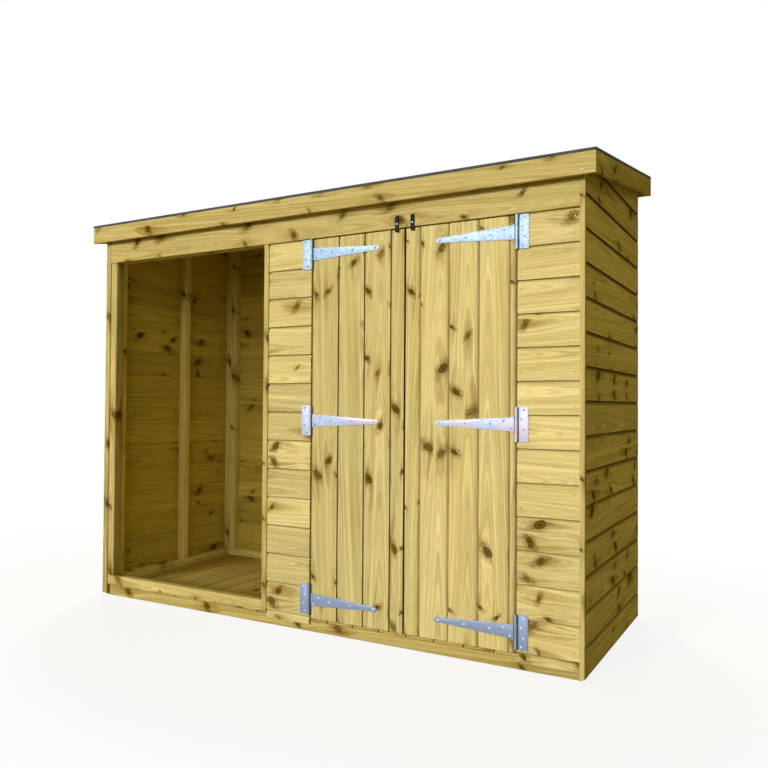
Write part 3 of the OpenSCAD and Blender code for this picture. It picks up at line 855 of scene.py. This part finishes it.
for side, joints in DOOR_JOINTS.items():
    body = side + "_door"
    hinge_edge = joints[0] if side == "left" else joints[-1]
    to_hinge = Vector((-1 if side == "left" else 1, 0, 0))
    boards = []
    places = []
    for left, right in zip(joints, joints[1:]):
        width = right - left
        lip, hollow = (right, left) if side == "left" else (left, right)
        board = shiplap_board(Vector((lip, FACE_Y, DOOR_FOOT)), to_hinge, INWARD,
                              Vector((0, 0, DOOR_TOP - DOOR_FOOT)), width, DOOR_SHADE[side])
        if hollow == hinge_edge:
            cut_off(board, (hinge_edge, 0, 0), to_hinge)
        tone = cutting_list.uniform(*DOOR_TONES[side])
        boards.append(lay_grain(board, ALONG_Z, ALONG_X, tone))
        for share in ((0.25, 0.75) if width > WIDE_BOARD else (0.5,)):
            for z in HINGE_HEIGHTS:
                x = left + share * width
                places += [Vector((x, FACE_Y, z + rise)) for rise in (-NAIL_PAIR, NAIL_PAIR)]
    leaf = put_together(side + "_door_board_row", boards, door_pine, "door_boards", body,
                        side + "_door_boards")
    finish_backs(leaf, INWARD, door_backs)
    nail_heads(side + "_door_nails", places, FORWARD, body)

    low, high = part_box(side + "_door_ledges")
    ledges = []
    for z in HINGE_HEIGHTS:
        bar = sawn_bar((low.x, low.y, z - LEDGE_H / 2), (high.x, high.y, z + LEDGE_H / 2), SAWN_EASE)
        ledges.append(lay_grain(bar, ALONG_X, ALONG_Z))
    put_together(side + "_ledges", ledges, sawn_pine, "door_boards", body, side + "_door_ledges")

    foot_x, head_x = (low.x, high.x) if side == "left" else (high.x, low.x)
    lean = BRACE_W if side == "left" else -BRACE_W
    braces = []
    for below, above in zip(HINGE_HEIGHTS, HINGE_HEIGHTS[1:]):
        z0, z1 = below + LEDGE_H / 2, above - LEDGE_H / 2
        corners = [Vector((foot_x, low.y, z0)), Vector((foot_x + lean, low.y, z0)),
                   Vector((head_x, low.y, z1)), Vector((head_x - lean, low.y, z1))]
        bar = drawn_bar(corners, Vector((0, LEDGE_T, 0)), SAWN_EASE)
        braces.append(lay_grain(bar, ALONG_Z, ALONG_X))
    put_together(side + "_braces", braces, sawn_pine, "door_boards", body, side + "_door_braces")


# Hinges
# Three tee hinges of galvanised steel to each door: a tall plate screwed to the panel,
# and a long tapered strap screwed through the door boards into the ledge behind them.
zinc = Finish("galvanised_steel")
place = zinc.place()
spangle = zinc.node("ShaderNodeTexVoronoi", voronoi_dimensions="3D", feature="F1")
zinc.put(spangle.inputs["Vector"], place)
spangle.inputs["Scale"].default_value = 160
flakes = zinc.node("ShaderNodeSeparateColor")
zinc.put(flakes.inputs[0], spangle.outputs["Color"])
cloud = zinc.noise(place, 30, 3, 0.6)
zinc_colour = zinc.mix(flakes.outputs["Red"], paint(150, 182, 224), paint(188, 218, 250))
zinc_colour = zinc.mix(zinc.fade(cloud, 0.45, 0.75, 0.0, 0.5), zinc_colour, paint(188, 184, 220))
height = zinc.axes(place)["Z"]
middle = zinc.fade(zinc.math("ABSOLUTE", zinc.math("SUBTRACT", height, HINGE_HEIGHTS[1])), 0.20, 0.08)
bloom = zinc.math("MULTIPLY", middle, zinc.fade(zinc.noise(place, 7, 2, 0.5), 0.36, 0.60, 0.0, 0.75))
zinc_colour = zinc.mix(bloom, zinc_colour, paint(214, 198, 220))
# painted shade by height: the hinges are coloured darker towards the bottom
lower_painted_shade = zinc.fade(height, 0.1, 1.0, 0.85, 0.08)
zinc_colour = zinc.mix(lower_painted_shade, zinc_colour, paint(122, 136, 172))
# painted shade in the creases beside the knuckles
zinc_colour = zinc.mix(zinc.attribute("crease_shade", "Fac"), zinc_colour, paint(40, 44, 66))
zinc.coat("Base Color", zinc_colour)
zinc.coat("Roughness", zinc.math("MULTIPLY_ADD", flakes.outputs["Green"], 0.14, 0.48))
zinc.coat("Metallic", 0.3)
zinc.bump(zinc.math("MULTIPLY_ADD", cloud, 0.6, flakes.outputs["Blue"]), 0.0002, 0.3)

AXIS_X = {"left": 0.047, "right": 0.952}
AXIS_Y = -0.4708
BARREL_R, BARREL_EASE, KNUCKLE_GAP = 0.0055, 0.0006, 0.0004
STRAP_L, STRAP_ROOT, STRAP_TIP, STRAP_EASE = 0.326, 0.053, 0.018, 0.0005
PLATE_H, PLATE_W, PLATE_NOTCH, PLATE_EASE = 0.126, 0.045, 0.006, 0.0006
STEEL_T, WEB_T, WEB_EASE, CREASE = 0.003, 0.001, 0.0002, 0.0092


def rolled_barrel(x, z0, z1):
    """A knuckle rolled round the pin."""
    bare_selection()
    bpy.ops.mesh.primitive_cylinder_add(vertices=24, radius=BARREL_R, depth=z1 - z0,
                                        location=(x, AXIS_Y, (z0 + z1) / 2))
    barrel = bpy.context.object
    bpy.ops.object.transform_apply(location=True, rotation=True, scale=True)
    edit_all(barrel)
    bpy.ops.mesh.bevel(offset=BARREL_EASE, offset_type="OFFSET", segments=1, affect="EDGES")
    bpy.ops.object.mode_set(mode="OBJECT")
    return barrel


def crease(x0, x1, z0, z1):
    """The thin web where a leaf is rolled into its knuckle, coloured dark as painted shade in the crease.
    """
    web = sawn_bar((min(x0, x1), FACE_Y - WEB_T, z0), (max(x0, x1), FACE_Y, z1), WEB_EASE)
    layer = web.data.attributes.new("crease_shade", "FLOAT", "POINT")
    layer.data.foreach_set("value", [1.0] * len(layer.data))
    return web


screw_zinc = Finish("screw_zinc")
place = screw_zinc.place()
smear = screw_zinc.noise(place, 260, 2, 0.6)
# painted shade and highlight by height: screw heads are dark on the upper hinges and bright on the lower
# ones
low_down = screw_zinc.fade(screw_zinc.axes(place)["Z"], 1.0, 0.5)
screw_dark = screw_zinc.mix(low_down, paint(34, 46, 76), paint(150, 160, 184))
screw_light = screw_zinc.mix(low_down, paint(78, 96, 136), paint(236, 240, 250))
screw_zinc.coat("Base Color", screw_zinc.mix(smear, screw_dark, screw_light))
screw_zinc.coat("Roughness", screw_zinc.math("MULTIPLY_ADD", smear, 0.2, 0.3))
screw_zinc.coat("Metallic", 0.6)

SCREW_R, SCREW_PROUD, SCREW_RECESS, SCREW_OUT = 0.0048, 0.0014, 0.0009, 0.0003
SCREW_Y = FACE_Y - STEEL_T - SCREW_OUT
# shares of the plate's width from the pin, and of its height from the middle
PLATE_SCREWS = ((0.62, 0.42), (0.45, 0.15), (0.62, -0.15), (0.45, -0.40))
# share of the strap's length from the pin, and height off its middle line
STRAP_SCREWS = ((0.07, -0.016), (0.15, 0.012), (0.31, 0.0), (0.62, 0.0), (0.95, 0.0))


def screw_heads(name, places, body):
    """Heads of screws, each with a recess for the driver."""
    driven_heads(name, places, FORWARD, SCREW_R, SCREW_PROUD, screw_zinc.material, "bright_screws", body,
                 SCREW_RECESS)


for side, axis_x in AXIS_X.items():
    way = 1 if side == "left" else -1
    plates, straps, plate_screws, strap_screws = [], [], [], []
    for z in HINGE_HEIGHTS:
        notch_z = STRAP_ROOT / 2 + KNUCKLE_GAP
        notch_x = -way * PLATE_NOTCH
        leaf_x = -way * CREASE
        outline = [(leaf_x, -PLATE_H / 2), (leaf_x, PLATE_H / 2),
                   (-way * PLATE_W, PLATE_H / 2), (-way * PLATE_W, -PLATE_H / 2)]
        corners = [Vector((axis_x + px, FACE_Y, z + pz)) for px, pz in outline]
        plates.append(drawn_bar(corners, FORWARD * STEEL_T, PLATE_EASE))
        plates.append(crease(axis_x + notch_x, axis_x + leaf_x, z - notch_z, z + notch_z))
        knuckle = (PLATE_H - STRAP_ROOT) / 2 - KNUCKLE_GAP
        for z0 in (z - PLATE_H / 2, z + PLATE_H / 2 - knuckle):
            plates.append(rolled_barrel(axis_x, z0, z0 + knuckle))
            plates.append(crease(axis_x, axis_x + leaf_x, z0, z0 + knuckle))

        tip = STRAP_TIP / 2
        tip_x = STRAP_L - tip
        outline = [(CREASE, -STRAP_ROOT / 2), (tip_x, -tip)]
        outline += [(tip_x + tip * math.sin(a), -tip * math.cos(a))
                    for a in (math.radians(step) for step in range(20, 180, 20))]
        outline += [(tip_x, tip), (CREASE, STRAP_ROOT / 2)]
        corners = [Vector((axis_x + way * px, FACE_Y, z + pz)) for px, pz in outline]
        straps.append(drawn_bar(corners, FORWARD * STEEL_T, STRAP_EASE))
        straps.append(rolled_barrel(axis_x, z - STRAP_ROOT / 2, z + STRAP_ROOT / 2))
        straps.append(crease(axis_x, axis_x + way * CREASE, z - STRAP_ROOT / 2, z + STRAP_ROOT / 2))

        for across, rise in PLATE_SCREWS:
            plate_screws.append(Vector((axis_x - way * PLATE_W * across, SCREW_Y, z + rise * PLATE_H)))
        for run, rise in STRAP_SCREWS:
            strap_screws.append(Vector((axis_x + way * STRAP_L * run, SCREW_Y, z + rise)))
    put_together(side + "_tee_plates", plates, zinc.material, "galvanised_steel", "store",
                 side + "_hinge_plates")
    put_together(side + "_tee_straps", straps, zinc.material, "galvanised_steel", side + "_door",
                 side + "_hinge_straps")
    screw_heads(side + "_plate_screws", plate_screws, "store")
    screw_heads(side + "_strap_screws", strap_screws, side + "_door")


# Turn buttons
# Two bars of flat black steel turn on screws in the lintel and hold the doors' upper edges shut.
# Their corners are rounded, and a screw's head stands in front of each bar's middle.
black = Finish("black_enamel")
wear = black.noise(black.place(), 140, 4, 0.65)
worn = black.mix(black.fade(wear, 0.55, 0.8, 0.0, 0.6), paint(10, 11, 16), paint(40, 42, 54))
black.coat("Base Color", worn)
black.coat("Roughness", black.math("MULTIPLY_ADD", wear, 0.25, 0.40))
black.coat("Specular IOR Level", 0.12)
black.bump(wear, 0.0003, 0.3)

BUTTON_L, BUTTON_W, BUTTON_T = 0.064, 0.017, 0.003
BUTTON_ROUND, BUTTON_EASE = 0.0045, 0.0006
BUTTON_X = {"left": 0.4575, "right": 0.5265}
BUTTON_Z, BUTTON_BACK = 1.669, -0.4703
PIVOT_R, PIVOT_HEAD, PIVOT_OUT = 0.0045, 0.002, 0.0012
button_screws = []
for side, x in BUTTON_X.items():
    outline = []
    for quarter, (way_x, way_z) in enumerate(((1, 1), (-1, 1), (-1, -1), (1, -1))):
        for step in range(0, 91, 30):
            a = math.radians(90 * quarter + step)
            outline.append((way_x * (BUTTON_W / 2 - BUTTON_ROUND) + BUTTON_ROUND * math.cos(a),
                            way_z * (BUTTON_L / 2 - BUTTON_ROUND) + BUTTON_ROUND * math.sin(a)))
    corners = [Vector((x + px, BUTTON_BACK, BUTTON_Z + pz)) for px, pz in outline]
    bar = drawn_bar(corners, FORWARD * BUTTON_T, BUTTON_EASE)
    put_together(side + "_button_bar", [bar], black.material, "black_buttons", side + "_button",
                 side + "_turn_button")
    button_screws.append(Vector((x, BUTTON_BACK - BUTTON_T - PIVOT_OUT, BUTTON_Z)))
heads = driven_heads("button_pivot_screws", button_screws, FORWARD, PIVOT_R, PIVOT_HEAD, zinc.material,
                     "bright_screws", "store", SCREW_RECESS)
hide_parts("button_screws")


# Floor, light and camera
# The store stands on a pale floor in a white room. A key light comes from the front left, a wide soft
# one from nearly straight in front and a third from behind, with a low warm fill from all round.

def in_view(finish):
    """1 where the camera looks, straight on, through glass or in a reflection, and 0 for other light."""
    ray = finish.node("ShaderNodeLightPath").outputs
    aside = finish.math("MAXIMUM", ray["Is Glossy Ray"], ray["Is Transmission Ray"])
    return finish.math("MAXIMUM", ray["Is Camera Ray"], aside)


def blended(finish, share, first, second):
    """One shader that turns into another as the share goes from 0 to 1."""
    made = finish.node("ShaderNodeMixShader")
    for socket, value in zip(made.inputs, (share, first, second)):
        finish.put(socket, value)
    return made.outputs[0]


FLOOR_SIZE, FLOOR_LEVEL = 60, -0.0005
bare_selection()
bpy.ops.mesh.primitive_plane_add(size=FLOOR_SIZE, location=(0, 0, FLOOR_LEVEL))
ground = bpy.context.object
ground.name = "floor"
bpy.ops.object.transform_apply(location=True, rotation=True, scale=True)
paving = Finish("pale_floor")
seen = in_view(paving)
around = paving.vector("MULTIPLY", paving.place(), (0.62, 1, 0))
reach = paving.fade(paving.vector("LENGTH", around), 0.9, 2.4)
white = paving.node("ShaderNodeEmission")
white.inputs["Color"].default_value = (1, 1, 1, 1)
paving.coat("Base Color", paving.mix(seen, (0.30, 0.24, 0.07, 1), (0.95, 0.95, 0.95, 1)))
paving.coat("Roughness", 0.95)
paving.coat("Specular IOR Level", 0.0)
glow = paving.math("MULTIPLY", seen, paving.math("MULTIPLY_ADD", reach, 0.14, 0.86))
surface = blended(paving, glow, paving.shader.outputs[0], white.outputs[0])
paving.put(paving.tree.nodes["Material Output"].inputs["Surface"], surface)
ground.data.materials.append(paving.material)


class Room(Finish):
    """The light all round, built with the same short ways as a finish."""

    def __init__(self, name):
        self.world = bpy.data.worlds.new(name)
        self.world.use_nodes = True
        self.tree = self.world.node_tree
        self.tree.nodes.clear()


FILL_COLOUR, FILL_LOW, FILL_OVERHEAD = (1.0, 0.82, 0.10, 1), 0.13, 0.31
room = Room("white_room")
overhead = room.node("ShaderNodeMapRange")
direction = room.node("ShaderNodeTexCoord").outputs["Generated"]
room.put(overhead.inputs["Value"], room.axes(direction)["Z"])
room.put(overhead.inputs["To Min"], FILL_LOW)
room.put(overhead.inputs["To Max"], FILL_OVERHEAD)
fill, walls = room.node("ShaderNodeBackground"), room.node("ShaderNodeBackground")
room.put(fill.inputs["Color"], FILL_COLOUR)
room.put(fill.inputs["Strength"], overhead.outputs[0])
room.put(walls.inputs["Color"], (1, 1, 1, 1))
room.put(walls.inputs["Strength"], 1.0)
out = room.node("ShaderNodeOutputWorld")
room.put(out.inputs[0], blended(room, in_view(room), fill.outputs[0], walls.outputs[0]))
bpy.context.scene.world = room.world


def soft_sun(name, place, energy, width, aim, colour=(1, 1, 1)):
    """A far lamp that looks as many degrees wide as it is given."""
    bare_selection()
    bpy.ops.object.light_add(type="SUN", location=place)
    lamp = bpy.context.object
    lamp.name = name
    lamp.data.energy = energy
    lamp.data.angle = math.radians(width)
    lamp.data.color = colour
    lamp.rotation_euler = Vector(aim).to_track_quat("-Z", "Y").to_euler()


soft_sun("soft_front_light", (0, -4, 3), 1.94, 9, (0.31, 1.0, -0.22), (1.0, 0.99, 0.98))
soft_sun("wide_front_light", (1, -4, 2), 1.25, 64, (-0.10, 1.0, -0.20), (1.0, 0.93, 0.68))
soft_sun("soft_rear_light", (-3, 4, 3), 2.2, 40, (0.55, -1.0, -0.75))

EYE = (1.8766, -3.0980, 0.9540)
YAW, PITCH, ROLL = math.radians(29.2885), math.radians(1.1204), math.radians(0.378)
PICTURE, FOCAL, RISE = 768, 757.74, 5.8645
SENSOR = 36
right = Vector((math.cos(YAW), math.sin(YAW), 0))
ahead = Vector((-math.sin(YAW) * math.cos(PITCH), math.cos(YAW) * math.cos(PITCH), math.sin(PITCH)))
above = right.cross(ahead)
tilted_right = right * math.cos(ROLL) + above * math.sin(ROLL)
tilted_up = above * math.cos(ROLL) - right * math.sin(ROLL)
camera_data = bpy.data.cameras.new("camera")
camera = bpy.data.objects.new("camera", camera_data)
bpy.context.scene.collection.objects.link(camera)
camera_data.sensor_width = SENSOR
camera_data.lens = SENSOR * FOCAL / PICTURE
camera_data.shift_y = RISE / PICTURE
turn = Matrix((tilted_right, tilted_up, -ahead)).transposed()
camera.matrix_world = Matrix.Translation(EYE) @ turn.to_4x4()
bpy.context.scene.camera = camera
bpy.context.scene.view_settings.view_transform = "Standard"
